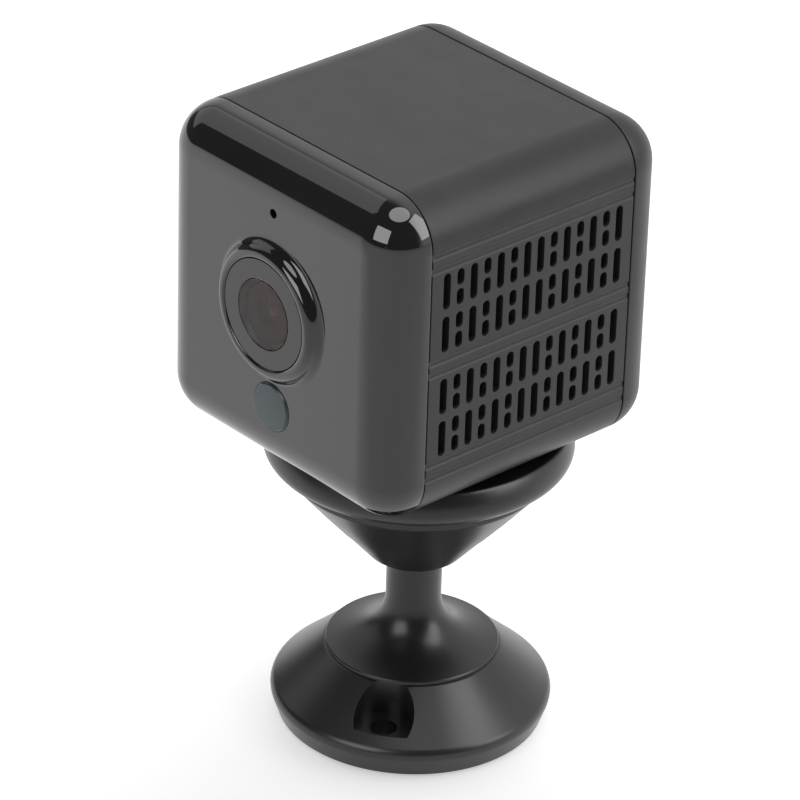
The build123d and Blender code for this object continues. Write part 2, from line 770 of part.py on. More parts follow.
# ---- export ----
camera_pieces = {
    "front_panel": make_front_panel,
    "main_housing": make_main_housing,
    "rear_cover": make_rear_cover,
    "keeper_disc": make_keeper_disc,
    "lens_bezel": make_lens_bezel,
    "lens_trim": make_lens_trim,
    "lens_window": make_lens_window,
    "lens_barrel": make_lens_barrel,
    "front_lens_element": make_front_element,
    "rear_lens_element": make_rear_element,
    "lens_holder": make_lens_holder,
    "infrared_filter": make_ir_filter,
    "image_sensor": make_image_sensor,
    "sensor_board": make_sensor_board,
    "front_board": make_front_board,
    "infrared_lamps": make_ir_leds,
    "motion_sensor_lens": make_pir_lens,
    "motion_sensor": make_pir_sensor,
    "microphone": make_microphone,
    "microphone_gasket": make_mic_gasket,
    "front_board_screws": make_board_screws,
    "inner_frame": make_inner_frame,
    "battery": make_battery,
    "battery_pads": make_battery_pads,
    "main_board": make_main_board,
    "processor_chip": make_processor_chip,
    "thermal_pad": make_thermal_pad,
    "heat_sink": make_heat_sink,
    "memory_chip": make_memory_chip,
    "wifi_module": make_wifi_module,
    "wifi_antenna": make_wifi_antenna,
    "usb_port": make_usb_port,
    "card_socket": make_card_socket,
    "memory_card": make_memory_card,
    "button_board": make_button_board,
    "slide_switch_body": make_slide_switch,
    "power_switch_knob": make_power_switch,
    "reset_button": make_reset_button,
    "reset_switch": make_reset_switch,
    "status_led": make_status_led,
    "status_light_pipe": make_status_light,
    "speaker": make_speaker,
    "rear_cover_screws": make_housing_screws,
    "vent_screens": make_vent_screens,
    "battery_plug": make_battery_plug,
    "battery_leads": make_battery_leads,
    "speaker_leads": make_speaker_leads,
    "ribbon_cable": make_ribbon_cable,
}
stand_pieces = {
    "foot": make_foot,
    "foot_pad": make_foot_pad,
    "foot_magnet": make_foot_magnet,
    "foot_screw": make_foot_screw,
    "ball_stem": make_ball_stem,
    "ball_liner": make_ball_liner,
    "head_shell": make_head_shell,
    "head_magnet": make_head_magnet,
    "grip_pad": make_grip_pad,
    "lock_nut": make_lock_nut,
}

os.makedirs("parts", exist_ok=True)
for name, make in camera_pieces.items():
    export_step(camera_place * make(), f"parts/{name}.step")
for name, make in stand_pieces.items():
    export_step(make(), f"parts/{name}.step")
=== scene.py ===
"""A small cube security camera on a magnetic ball-head stand: its visible pieces, finishes and studio."""

import json
import math
from contextlib import contextmanager

import bmesh
import bpy
from bpy.props import FloatProperty, FloatVectorProperty, IntProperty, PointerProperty
from mathutils import Matrix, Vector


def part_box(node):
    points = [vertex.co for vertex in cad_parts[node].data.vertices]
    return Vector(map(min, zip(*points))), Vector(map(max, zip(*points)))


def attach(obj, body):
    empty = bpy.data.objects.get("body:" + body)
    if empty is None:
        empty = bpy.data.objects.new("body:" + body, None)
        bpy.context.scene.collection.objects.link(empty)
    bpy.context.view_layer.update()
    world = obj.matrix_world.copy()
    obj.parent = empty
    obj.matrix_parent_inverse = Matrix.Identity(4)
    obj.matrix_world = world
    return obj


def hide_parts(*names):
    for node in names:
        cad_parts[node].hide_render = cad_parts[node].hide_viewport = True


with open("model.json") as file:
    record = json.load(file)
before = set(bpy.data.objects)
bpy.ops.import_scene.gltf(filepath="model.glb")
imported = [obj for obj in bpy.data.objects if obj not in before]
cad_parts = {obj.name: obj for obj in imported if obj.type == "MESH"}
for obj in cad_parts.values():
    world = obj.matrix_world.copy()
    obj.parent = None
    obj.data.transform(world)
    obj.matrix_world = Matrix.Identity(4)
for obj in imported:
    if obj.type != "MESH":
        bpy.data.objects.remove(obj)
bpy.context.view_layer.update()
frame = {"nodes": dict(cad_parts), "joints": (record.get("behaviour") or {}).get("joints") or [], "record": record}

bl_info = {
    "name": "Cube Security Camera",
    "version": (1, 0, 0),
    "blender": (4, 5, 0),
    "location": "View3D > Sidebar > Cube Camera",
    "description": "Builds the visible shells, lens, stand and studio of a small cube security camera",
    "category": "Object",
}

mm = 0.001
FLAT = 1e-6

# ---- levels on the side walls and half the field of the vents, along and up ----
vent_rows = (-9.25 * mm, -3.91 * mm, 3.91 * mm, 9.25 * mm)
groove_levels = (-14.0 * mm, -12.2 * mm, -0.75 * mm, 0.75 * mm, 12.2 * mm, 14.0 * mm)
vent_field = (14.5 * mm, 11.6 * mm)

# ---- places read from the frame ----
front_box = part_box("front_panel")
rear_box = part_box("rear_cover")
housing_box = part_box("main_housing")
cube_low = Vector((housing_box[0].x, front_box[0].y, housing_box[0].z))
cube_high = Vector((housing_box[1].x, rear_box[1].y, housing_box[1].z))
cube_centre = (cube_low + cube_high) / 2
ball_centre = Vector(next(joint["pos_m"] for joint in frame["joints"] if joint["name"] == "head_pan"))


def box_centre(node):
    low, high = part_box(node)
    return (low + high) / 2


lens_centre = Vector((box_centre("lens_trim").x, cube_low.y, box_centre("lens_trim").z))
sensor_centre = Vector((box_centre("motion_sensor_lens").x, cube_low.y, box_centre("motion_sensor_lens").z))
pinhole_centre = Vector((cube_centre.x, cube_low.y, box_centre("microphone").z))


# ---- settings ----
def length(name, description, default):
    return FloatProperty(name=name, description=description, default=default * mm, min=0.0,
                         unit="LENGTH", precision=5)


def colour(name, description, default):
    return FloatVectorProperty(name=name, description=description, default=default, size=3,
                               min=0.0, max=1.0, subtype="COLOR")


class ShellSettings(bpy.types.PropertyGroup):
    edge_radius: length("Edge radius", "Rounding of the four long edges", 5.6)
    end_radius: length("End radius", "Rounding round the front and rear faces", 5.5)
    wall: length("Wall", "Thickness of the moulded shells", 1.5)
    seam_gap: length("Seam gap", "Open gap between two shells", 0.14)
    seam_edge: length("Seam edge", "Small chamfer along each seam", 0.1)
    vent_pitch: length("Vent pitch", "Distance from one column of vents to the next", 2.0)
    vent_width: length("Vent width", "Width of a vent slot", 1.0)
    vent_length: length("Vent length", "Height of a long vent slot", 4.4)
    short_vent: length("Short vent", "Height of a short vent slot", 1.95)
    groove_depth: length("Groove depth", "Depth of the shallow grooves along the sides", 0.18)
    columns: IntProperty(name="Vent columns", description="Columns of vents on each side", default=14, min=2)


class LensSettings(bpy.types.PropertyGroup):
    bezel_radius: length("Bezel radius", "Radius of the lens ring half way down its flank", 8.15)
    bezel_blend: length("Bezel blend", "Radius where the ring has run out into the panel", 9.05)
    bezel_height: length("Bezel height", "How far the lens ring stands proud", 1.4)
    trim_radius: length("Trim radius", "Outer radius of the flat ring round the window", 6.63)
    trim_height: length("Trim height", "How far the flat ring stands proud", 1.25)
    window_radius: length("Window radius", "Radius of the dark window", 4.2)
    sensor_radius: length("Sensor radius", "Radius of the movement sensor's disc", 2.98)
    sensor_edge: length("Sensor edge", "Chamfer round the movement sensor's disc", 0.24)
    barrel_front: length("Barrel front", "How far the barrel's face stands before the panel", 0.1)
    barrel_throat: length("Barrel throat", "Radius of the small front glass", 0.8)
    pinhole_radius: length("Pinhole radius", "Radius of the microphone hole", 0.55)


class StandSettings(bpy.types.PropertyGroup):
    foot_radius: length("Foot radius", "Largest radius of the foot", 16.7)
    foot_bottom: length("Foot bottom radius", "Radius at the foot's lower edge", 15.9)
    dish_radius: length("Dish radius", "Radius of the stem's flared dish", 10.35)
    dish_level: length("Dish level", "Height of the dish's underside", 9.2)
    stem_radius: length("Stem radius", "Radius of the upright stem", 3.3)
    ball_radius: length("Ball radius", "Radius of the ball", 5.5)
    socket_radius: length("Socket radius", "Radius of the socket round the ball's liner", 6.4)
    head_radius: length("Head radius", "Radius of the head's upper edge", 17.55)
    neck_radius: length("Neck radius", "Radius of the narrow band between head and nut", 15.65)
    ledge_radius: length("Ledge radius", "Radius of the head's lower ledge", 16.55)
    nut_radius: length("Nut radius", "Largest radius of the lock nut", 15.5)
    pocket_radius: length("Pocket radius", "Radius of a screw pocket in the foot", 3.55)
    pocket_circle: length("Pocket circle", "Distance of the pockets from the middle", 13.4)


class FinishSettings(bpy.types.PropertyGroup):
    gloss_black: colour("Gloss black", "Front panel and lens ring", (0.010, 0.010, 0.0105))
    satin_black: colour("Satin black", "Housing and rear cover", (0.024, 0.024, 0.0245))
    stand_black: colour("Stand black", "Foot, stem, head and nut", (0.016, 0.0162, 0.0168))
    window_brown: colour("Window brown", "Tint of the lens window", (0.42, 0.33, 0.31))
    sensor_blue: colour("Sensor blue", "Movement sensor's lens", (0.055, 0.082, 0.094))
    floor_white: colour("Floor", "Studio floor", (0.86, 0.86, 0.86))


class StudioSettings(bpy.types.PropertyGroup):
    azimuth: FloatProperty(name="Azimuth", description="Turn of the camera round the object",
                           default=math.radians(47.484), subtype="ANGLE")
    elevation: FloatProperty(name="Elevation", description="Camera's angle above the floor",
                             default=math.radians(29.405), subtype="ANGLE")
    roll: FloatProperty(name="Roll", description="Tilt of the camera about its own axis",
                        default=math.radians(1.839), subtype="ANGLE")
    distance: FloatProperty(name="Distance", description="From the camera to the point it looks at",
                            default=0.54883, unit="LENGTH")
    target: FloatVectorProperty(name="Target", description="Point that the camera looks at",
                                default=(0.0150, -0.0169, 0.0544), subtype="TRANSLATION")
    focal_length: FloatProperty(name="Focal length", description="Lens of the studio camera, in millimetres",
                                default=223.05, unit="CAMERA")
    floor_glow: FloatProperty(name="Floor glow", description="Light that the white floor gives off",
                              default=0.56)
    near_glow: FloatProperty(name="Near glow", description="The same on the viewer's side", default=0.12)


class CubeCameraSettings(bpy.types.PropertyGroup):
    shell: PointerProperty(type=ShellSettings, name="Shells", description="Sizes of the camera's shells")
    lens: PointerProperty(type=LensSettings, name="Lens", description="Sizes of the lens group")
    stand: PointerProperty(type=StandSettings, name="Stand", description="Sizes of the stand")
    finish: PointerProperty(type=FinishSettings, name="Finishes", description="Colours of the finishes")
    studio: PointerProperty(type=StudioSettings, name="Studio", description="View and light")


def settings():
    return bpy.context.scene.cube_camera


# ---- modelling steps ----
def select_only(piece):
    bpy.ops.object.select_all(action="DESELECT")
    piece.select_set(True)
    bpy.context.view_layer.objects.active = piece


@contextmanager
def edit(piece, kind="VERT"):
    """Edit mode on one piece with nothing selected; gives its mesh for selecting by place or normal."""
    select_only(piece)
    bpy.ops.object.mode_set(mode="EDIT")
    bpy.ops.mesh.select_mode(type=kind)
    bpy.ops.mesh.select_all(action="DESELECT")
    yield bmesh.from_edit_mesh(piece.data)
    bpy.ops.object.mode_set(mode="OBJECT")


def select_edges(piece, mesh, wanted):
    """Selects the edges that wanted accepts; says how many there are."""
    chosen = [edge for edge in mesh.edges if wanted(edge)]
    for edge in chosen:
        edge.select_set(True)
    bmesh.update_edit_mesh(piece.data)
    return len(chosen)


def bevel_edges(piece, wanted, width, segments):
    with edit(piece, "EDGE") as mesh:
        if not select_edges(piece, mesh, wanted):
            raise RuntimeError(f"{piece.name} has no edges to round")
        bpy.ops.mesh.bevel(offset=width, segments=segments, profile=0.5)


def add_block(name, low, high):
    """A cube primitive that fills the space between two corners."""
    bpy.ops.object.select_all(action="DESELECT")
    bpy.ops.mesh.primitive_cube_add(size=1.0, location=(Vector(low) + Vector(high)) / 2)
    piece = bpy.context.object
    piece.name = name
    piece.scale = Vector(high) - Vector(low)
    bpy.ops.object.transform_apply(location=True, rotation=True, scale=True)
    return piece


def add_rod(name, centre, radius, depth, axis="Y", corners=96):
    """A cylinder primitive along one axis, centred on a point."""
    turn = {"X": (0, math.pi / 2, 0), "Y": (math.pi / 2, 0, 0), "Z": (0, 0, 0)}[axis]
    bpy.ops.object.select_all(action="DESELECT")
    bpy.ops.mesh.primitive_cylinder_add(vertices=corners, radius=radius, depth=depth, location=centre,
                                        rotation=turn)
    piece = bpy.context.object
    piece.name = name
    bpy.ops.object.transform_apply(location=True, rotation=True, scale=True)
    return piece


def copy_at(piece, shift):
    """A copy with its own mesh, moved by shift."""
    select_only(piece)
    bpy.ops.object.duplicate(linked=False)
    twin = bpy.context.object
    bpy.ops.transform.translate(value=shift)
    bpy.ops.object.transform_apply(location=True, rotation=True, scale=True)
    return twin


def join_all(pieces):
    bpy.ops.object.select_all(action="DESELECT")
    for piece in pieces:
        piece.select_set(True)
    bpy.context.view_layer.objects.active = pieces[0]
    bpy.ops.object.join()
    return pieces[0]


def use_modifier(piece, kind, **values):
    """Adds a modifier, sets it and applies it."""
    select_only(piece)
    modifier = piece.modifiers.new(kind.title(), kind)
    for key, value in values.items():
        setattr(modifier, key, value)
    bpy.ops.object.modifier_apply(modifier=modifier.name)


def cut(piece, cutters):
    """Takes the cutters out of the piece and throws them away."""
    tool = join_all(cutters)
    use_modifier(piece, "BOOLEAN", operation="DIFFERENCE", solver="EXACT", object=tool, use_self=False)
    bpy.data.objects.remove(tool)


def bend(start, control, end, count=14):
    """Points of a smooth bend after start, drawn towards control."""
    points = []
    for index in range(1, count + 1):
        t = index / count
        points.append(tuple((1 - t) ** 2 * a + 2 * t * (1 - t) * b + t * t * c
                            for a, b, c in zip(start, control, end)))
    return points


def arc(radius, level, first, last, count=24):
    """Points of a round stretch about (0, level), between two angles in degrees from straight up."""
    points = []
    for index in range(count + 1):
        angle = math.radians(first + (last - first) * index / count)
        points.append((radius * math.sin(angle), level + radius * math.cos(angle)))
    return points


def soften(points, size, count=4):
    """Rounds every real corner of an open or closed outline by size."""
    soft = []
    total = len(points)
    for index, point in enumerate(points):
        here = Vector(point)
        back = Vector(points[index - 1]) - here
        ahead = Vector(points[(index + 1) % total]) - here
        reach = min(size, back.length * 0.45, ahead.length * 0.45)
        sharp = back.length > FLAT and ahead.length > FLAT and math.degrees(back.angle(ahead)) < 150
        if here.x < FLAT or not sharp:
            soft.append(tuple(here))
            continue
        start = tuple(here + back.normalized() * reach)
        end = tuple(here + ahead.normalized() * reach)
        soft += [start] + bend(start, tuple(here), end, count)
    return soft


def turn_outline(name, centre, outline, axis="Z", closed=True, steps=144):
    """Draws an outline of (radius, height) points and spins it round an axis through centre.
    Heights rise along +Z, or come out of the front face along -Y."""
    rise = Vector((0, 0, 1)) if axis == "Z" else Vector((0, -1, 0))
    centre = Vector(centre)
    places = [centre + Vector((radius, 0, 0)) + rise * height for radius, height in outline]
    bpy.ops.object.select_all(action="DESELECT")
    bpy.ops.mesh.primitive_plane_add(size=mm, location=(0, 0, 0))
    piece = bpy.context.object
    piece.name = name
    with edit(piece):
        bpy.ops.mesh.select_all(action="SELECT")
        bpy.ops.mesh.merge(type="CENTER")
        bpy.ops.mesh.select_all(action="SELECT")
        bpy.ops.transform.translate(value=places[0])
        for here, there in zip(places, places[1:]):
            bpy.ops.mesh.extrude_vertices_move(TRANSFORM_OT_translate={"value": there - here})
        if closed:
            mesh = bmesh.from_edit_mesh(piece.data)
            for vertex in mesh.verts:
                ends = (places[0], places[-1])
                vertex.select_set(any((vertex.co - end).length < FLAT / 10 for end in ends))
            bmesh.update_edit_mesh(piece.data)
            bpy.ops.mesh.edge_face_add()
        bpy.ops.mesh.select_all(action="SELECT")
        bpy.ops.mesh.spin(steps=steps, angle=2 * math.pi, center=centre, axis=rise)
        bpy.ops.mesh.select_all(action="SELECT")
        bpy.ops.mesh.remove_doubles(threshold=FLAT / 2)
        bpy.ops.mesh.normals_make_consistent(inside=False)
    return piece


def finish_piece(piece, name, body, slot, *nodes, angle=32, finish=None):
    """Smooths the piece, gives it the finish of its slot or another, parents it to its body's empty and hides any
    frame nodes that it replaces.
    """
    piece.name = name
    piece.data.name = name
    select_only(piece)
    bpy.ops.object.shade_smooth_by_angle(angle=math.radians(angle))
    use_modifier(piece, "WEIGHTED_NORMAL", weight=100, keep_sharp=True)
    piece.data.materials.clear()
    piece.data.materials.append(finishes[finish or slot])
    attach(piece, body)
    if nodes:
        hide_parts(*nodes)
    return piece


# ---- finishes ----
class Finish:
    """One procedural finish that is built up from layers of nodes."""

    def __init__(self, name, roughness, ior=1.5, metallic=0.0):
        self.material = bpy.data.materials.new(name)
        self.material.use_nodes = True
        self.nodes = self.material.node_tree.nodes
        self.links = self.material.node_tree.links
        self.shader = self.nodes["Principled BSDF"]
        self.shader.inputs["Metallic"].default_value = metallic
        self.shader.inputs["Roughness"].default_value = roughness
        self.shader.inputs["IOR"].default_value = ior
        self.roughness = roughness
        self.place = self.nodes.new("ShaderNodeTexCoord").outputs["Object"]
        self.colour = None

    def mapped(self, stretch):
        mapping = self.nodes.new("ShaderNodeMapping")
        mapping.inputs["Scale"].default_value = stretch
        self.links.new(self.place, mapping.inputs["Vector"])
        return mapping.outputs["Vector"]

    def noise(self, scale, detail=3.0, stretch=(1, 1, 1)):
        """Noise whose scale is the number of features in a metre."""
        node = self.nodes.new("ShaderNodeTexNoise")
        node.inputs["Scale"].default_value = scale
        node.inputs["Detail"].default_value = detail
        self.links.new(self.mapped(stretch), node.inputs["Vector"])
        return node.outputs["Fac"]

    def spread(self, value, low, high, from_low=0.35, from_high=0.65):
        node = self.nodes.new("ShaderNodeMapRange")
        node.inputs["From Min"].default_value = from_low
        node.inputs["From Max"].default_value = from_high
        node.inputs["To Min"].default_value = low
        node.inputs["To Max"].default_value = high
        self.links.new(value, node.inputs["Value"])
        return node.outputs["Result"]

    def blend(self, factor, first, second):
        """A mix of two colours; each is a plain colour or the output of another node."""
        node = self.nodes.new("ShaderNodeMix")
        node.data_type = "RGBA"
        self.links.new(factor, node.inputs["Factor"])
        for socket, value in ((node.inputs[6], first), (node.inputs[7], second)):
            if isinstance(value, bpy.types.NodeSocket):
                self.links.new(value, socket)
            else:
                socket.default_value = (*value, 1.0)
        return node.outputs[2]

    def mottled(self, tone, change, scale, stretch=(1, 1, 1)):
        """Base colour with slow changes of tone."""
        darker = tuple(channel * (1 - change) for channel in tone)
        lighter = tuple(min(1.0, channel * (1 + change)) for channel in tone)
        self.colour = self.blend(self.spread(self.noise(scale, stretch=stretch), 0, 1), darker, lighter)
        return self

    def uneven(self, change, scale, stretch=(1, 1, 1)):
        """Roughness that varies a little over the surface."""
        low = self.roughness * (1 - change)
        high = self.roughness * (1 + change)
        value = self.spread(self.noise(scale, stretch=stretch), low, high)
        self.links.new(value, self.shader.inputs["Roughness"])
        return self

    def grained(self, depth, scale, detail=3.0, stretch=(1, 1, 1)):
        """Fine relief, its depth in metres."""
        self.relief(self.noise(scale, detail, stretch), depth)
        return self

    def relief(self, height, depth):
        node = self.nodes.new("ShaderNodeBump")
        node.inputs["Strength"].default_value = 1.0
        node.inputs["Distance"].default_value = depth
        self.links.new(height, node.inputs["Height"])
        if self.shader.inputs["Normal"].is_linked:
            self.links.new(self.shader.inputs["Normal"].links[0].from_socket, node.inputs["Normal"])
        self.links.new(node.outputs["Normal"], self.shader.inputs["Normal"])

    def dusty(self, amount=0.5, cells=210.0, size=0.012):
        """A few tiny light specks of dust."""
        cell = self.nodes.new("ShaderNodeTexVoronoi")
        cell.inputs["Scale"].default_value = cells
        self.links.new(self.place, cell.inputs["Vector"])
        speck = self.spread(cell.outputs["Distance"], amount, 0.0, size * 0.6, size)
        self.colour = self.blend(speck, self.colour, (0.55, 0.55, 0.55))
        return self

    def done(self):
        if self.colour is not None:
            self.links.new(self.colour, self.shader.inputs["Base Color"])
        return self.material


def gloss_black():
    """High-gloss moulding with faint polishing haze and dust."""
    finish = Finish("gloss_black", 0.045, ior=1.72)
    finish.mottled(settings().finish.gloss_black, 0.12, 90).uneven(0.35, 60)
    return finish.grained(0.0000006, 260, 1.0).dusty(0.5).done()


def trim_black():
    """The flat ring's gloss, a little duller than the panel's."""
    finish = Finish("trim_black", 0.07, ior=1.58)
    finish.mottled(settings().finish.gloss_black, 0.1, 120).uneven(0.3, 80)
    return finish.grained(0.0000005, 300, 1.0).dusty(0.4).done()


def satin_black():
    """Fine spark-eroded moulding."""
    finish = Finish("satin_black", 0.40, ior=1.44)
    finish.mottled(settings().finish.satin_black, 0.10, 120).uneven(0.07, 240)
    return finish.grained(0.0000035, 5200, 2.0).dusty(0.45).done()


def frame_black():
    """Plain moulded plastic with soft flow marks."""
    finish = Finish("frame_black", 0.5)
    finish.mottled((0.022, 0.022, 0.023), 0.2, 160, (1, 1, 3)).uneven(0.12, 300)
    return finish.grained(0.000004, 3200).done()


def stand_black():
    """Satin moulding of the stand, smoother than the housing."""
    finish = Finish("stand_black", 0.30, ior=1.52)
    finish.mottled(settings().finish.stand_black, 0.10, 60).uneven(0.06, 90)
    return finish.grained(0.0000008, 2400, 1.0).dusty(0.35).done()


def stand_metal():
    """Black anodised aluminium with faint turning lines round the stem."""
    finish = Finish("stand_metal", 0.30, ior=1.5)
    finish.mottled(settings().finish.stand_black, 0.08, 60, (1, 1, 4)).uneven(0.06, 90, (1, 1, 5))
    return finish.grained(0.0000005, 700, 1.0, (1, 1, 6)).dusty(0.3).done()


def window_glass():
    """Brown filter glass with a low-glare coating."""
    finish = Finish("window_glass", 0.02, ior=1.30)
    finish.shader.inputs["Transmission Weight"].default_value = 1.0
    finish.mottled(settings().finish.window_brown, 0.05, 60).uneven(0.3, 60)
    return finish.grained(0.00000008, 90, 1.0).done()


def coated_glass():
    """Optical glass with the coating's wine-red reflection painted into its colour: red face-on, dark purple at
    grazing angles.
    """
    finish = Finish("coated_glass", 0.03, ior=1.9)
    # painted reflection: the base colour is the coating's red reflection when seen face-on and turns darker
    # towards grazing view
    rim = finish.nodes.new("ShaderNodeLayerWeight")
    rim.inputs["Blend"].default_value = 0.35
    finish.colour = finish.blend(rim.outputs["Facing"], (0.20, 0.06, 0.055), (0.05, 0.03, 0.05))
    finish.shader.inputs["Coat Weight"].default_value = 1.0
    finish.shader.inputs["Coat Roughness"].default_value = 0.02
    return finish.uneven(0.3, 900).grained(0.0000004, 900, 1.0).done()


def sensor_blue():
    """Blue-grey translucent moulding, lightly frosted."""
    finish = Finish("sensor_blue", 0.22, ior=1.45)
    finish.mottled(settings().finish.sensor_blue, 0.08, 500).uneven(0.2, 700)
    finish.shader.inputs["Subsurface Weight"].default_value = 0.15
    finish.shader.inputs["Subsurface Scale"].default_value = 0.0008
    return finish.grained(0.0000015, 2600, 2.0).dusty(0.3).done()


def rubber_black():
    """Matt rubber with a fine cloth-like press mark."""
    finish = Finish("rubber_black", 0.78)
    finish.mottled((0.018, 0.018, 0.018), 0.25, 400).uneven(0.08, 900)
    return finish.grained(0.00001, 2600).dusty(0.3).done()


def metal(name, tone, roughness, stretch=(1, 12, 1), scratch=0.0000015):
    """Worked metal with drawn lines along one direction."""
    finish = Finish(name, roughness, metallic=1.0)
    finish.mottled(tone, 0.08, 220, stretch).uneven(0.25, 700, stretch)
    return finish.grained(scratch, 2600, 3.0, stretch).done()


def board(name, tone):
    """Circuit board with copper tracks under the solder mask."""
    finish = Finish(name, 0.32)
    brick = finish.nodes.new("ShaderNodeTexBrick")
    brick.inputs["Scale"].default_value = 420.0
    brick.inputs["Mortar Size"].default_value = 0.06
    finish.links.new(finish.place, brick.inputs["Vector"])
    lighter = tuple(min(1.0, channel * 1.7 + 0.01) for channel in tone)
    finish.colour = finish.blend(brick.outputs["Fac"], tone, lighter)
    finish.relief(brick.outputs["Fac"], 0.00002)
    return finish.uneven(0.2, 500).done()


def woven(name, tone, threads, roughness=0.85):
    """Cloth or foam with a woven relief."""
    finish = Finish(name, roughness)
    for direction in ("Y", "Z"):
        wave = finish.nodes.new("ShaderNodeTexWave")
        wave.bands_direction = direction
        wave.inputs["Scale"].default_value = threads
        finish.links.new(finish.place, wave.inputs["Vector"])
        finish.relief(wave.outputs["Fac"], 0.00004)
    finish.mottled(tone, 0.3, 900)
    return finish.uneven(0.1, 600).done()


def moulded(name, tone, roughness, ior=1.5, grain=0.000003, clear=0.0):
    """Any other small moulding: clear parts have some transmission."""
    finish = Finish(name, roughness, ior=ior)
    finish.shader.inputs["Transmission Weight"].default_value = clear
    finish.mottled(tone, 0.12, 300).uneven(0.15, 500)
    return finish.grained(grain, 2400).done()


def all_finishes():
    """Every finish by the record's slot name."""
    return {
        "gloss_black": gloss_black(), "trim_black": trim_black(), "satin_black": satin_black(),
        "frame_black": frame_black(),
        "stand_black": stand_black(), "stand_metal": stand_metal(), "tinted_glass": window_glass(),
        "clear_glass": coated_glass(), "sensor_blue": sensor_blue(), "black_rubber": rubber_black(),
        "bright_steel": metal("bright_steel", (0.52, 0.52, 0.51), 0.32),
        "dark_steel": metal("dark_steel", (0.09, 0.09, 0.095), 0.36),
        "raw_aluminium": metal("raw_aluminium", (0.60, 0.61, 0.62), 0.38),
        "magnet_nickel": metal("magnet_nickel", (0.58, 0.57, 0.54), 0.16, (1, 1, 1)),
        "battery_foil": metal("battery_foil", (0.50, 0.50, 0.51), 0.42, (1, 1, 4), 0.000012),
        "copper_film": metal("copper_film", (0.52, 0.26, 0.14), 0.34),
        "filter_glass": moulded("filter_glass", (0.35, 0.68, 0.66), 0.04, 1.5, 0.0000004, 0.6),
        "sensor_glass": moulded("sensor_glass", (0.05, 0.07, 0.10), 0.08, 1.6, 0.0000004),
        "lamp_clear": moulded("lamp_clear", (0.72, 0.72, 0.68), 0.12, 1.55, 0.000001, 0.5),
        "board_green": board("board_green", (0.012, 0.085, 0.040)),
        "board_black": board("board_black", (0.014, 0.014, 0.017)),
        "black_foam": woven("black_foam", (0.016, 0.016, 0.016), 700.0, 0.9),
        "dust_cloth": woven("dust_cloth", (0.008, 0.008, 0.008), 1500.0),
        "grey_silicone": moulded("grey_silicone", (0.34, 0.36, 0.39), 0.66, 1.4, 0.000008),
        "chip_black": moulded("chip_black", (0.020, 0.020, 0.022), 0.46, 1.5, 0.000006),
        "white_nylon": moulded("white_nylon", (0.68, 0.68, 0.63), 0.42, 1.5, 0.000002),
        "red_lead": moulded("red_lead", (0.36, 0.02, 0.015), 0.44, 1.5, 0.000002),
        "ribbon_amber": moulded("ribbon_amber", (0.46, 0.20, 0.03), 0.28, 1.5, 0.000002),
        "card_black": moulded("card_black", (0.018, 0.018, 0.020), 0.50, 1.5, 0.000004),
    }


finishes = {}


# ---- camera shells ----
def shell_distance(point):
    """How far a point lies outside the cube's rounded outline, seen along the camera's axis."""
    radius = settings().shell.edge_radius
    half = (cube_high - cube_low) / 2
    across = abs(point.x - cube_centre.x) - half.x + radius
    up = abs(point.z - cube_centre.z) - half.z + radius
    return math.hypot(max(across, 0), max(up, 0)) + min(max(across, up), 0) - radius


def runs_along(axis):
    """Tells the edges that run some way along an axis."""
    return lambda edge: abs(edge.verts[0].co[axis] - edge.verts[1].co[axis]) > mm


def rounded_cube(name):
    """The camera's whole rounded form."""
    shell = settings().shell
    piece = add_block(name, cube_low, cube_high)
    bevel_edges(piece, runs_along(1), shell.edge_radius, 18)
    for face_y in (cube_low.y, cube_high.y):
        bevel_edges(piece, lambda edge: all(abs(vertex.co.y - face_y) < FLAT for vertex in edge.verts),
                    shell.end_radius, 18)
    return piece


def open_at(piece, level, keep_front):
    """Cuts the form open across the camera's axis and keeps one side."""
    with edit(piece):
        bpy.ops.mesh.select_all(action="SELECT")
        bpy.ops.mesh.bisect(plane_co=(0, level, 0), plane_no=(0, 1, 0), clear_outer=keep_front,
                            clear_inner=not keep_front)


def thicken(piece, levels):
    """Gives the shell its wall and softens its outer edge at each seam."""
    shell = settings().shell
    use_modifier(piece, "SOLIDIFY", thickness=shell.wall, offset=-1.0, use_even_offset=True, use_rim=True)
    for level in levels:
        bevel_edges(piece, lambda edge: all(abs(vertex.co.y - level) < FLAT
                                            and shell_distance(vertex.co) > -shell.wall / 2
                                            for vertex in edge.verts), shell.seam_edge, 2)


def sharp_edges_on(axis, level, tolerance=2e-6, least=60):
    """Tells the crisp edges that lie in one flat face of a piece."""
    def wanted(edge):
        flat = all(abs(vertex.co[axis] - level) < tolerance for vertex in edge.verts)
        return flat and len(edge.link_faces) == 2 and edge.calc_face_angle(0) > math.radians(least)
    return wanted


def build_front_panel():
    shell = settings().shell
    lens = settings().lens
    seam = housing_box[0].y - shell.seam_gap
    piece = rounded_cube("front_form")
    open_at(piece, seam, True)
    thicken(piece, [seam])
    cut(piece, [
        add_rod("lens_hole", lens_centre, 7.23 * mm, 8 * mm, corners=144),
        add_rod("sensor_hole", sensor_centre, lens.sensor_radius + 0.03 * mm, 8 * mm, corners=96),
        add_rod("sound_hole", pinhole_centre, lens.pinhole_radius, 8 * mm, corners=48)])
    bevel_edges(piece, sharp_edges_on(1, cube_low.y), 0.05 * mm, 2)
    return finish_piece(piece, "front_panel_shell", "camera", "gloss_black", "front_panel")


def vent_cutter(name, height, centre):
    """A slot-shaped cutter that goes through both side walls."""
    shell = settings().shell
    half = Vector((22 * mm, shell.vent_width / 2, height / 2))
    piece = add_block(name, centre - half, centre + half)
    bevel_edges(piece, runs_along(0), shell.vent_width / 2 - 0.002 * mm, 7)
    return piece


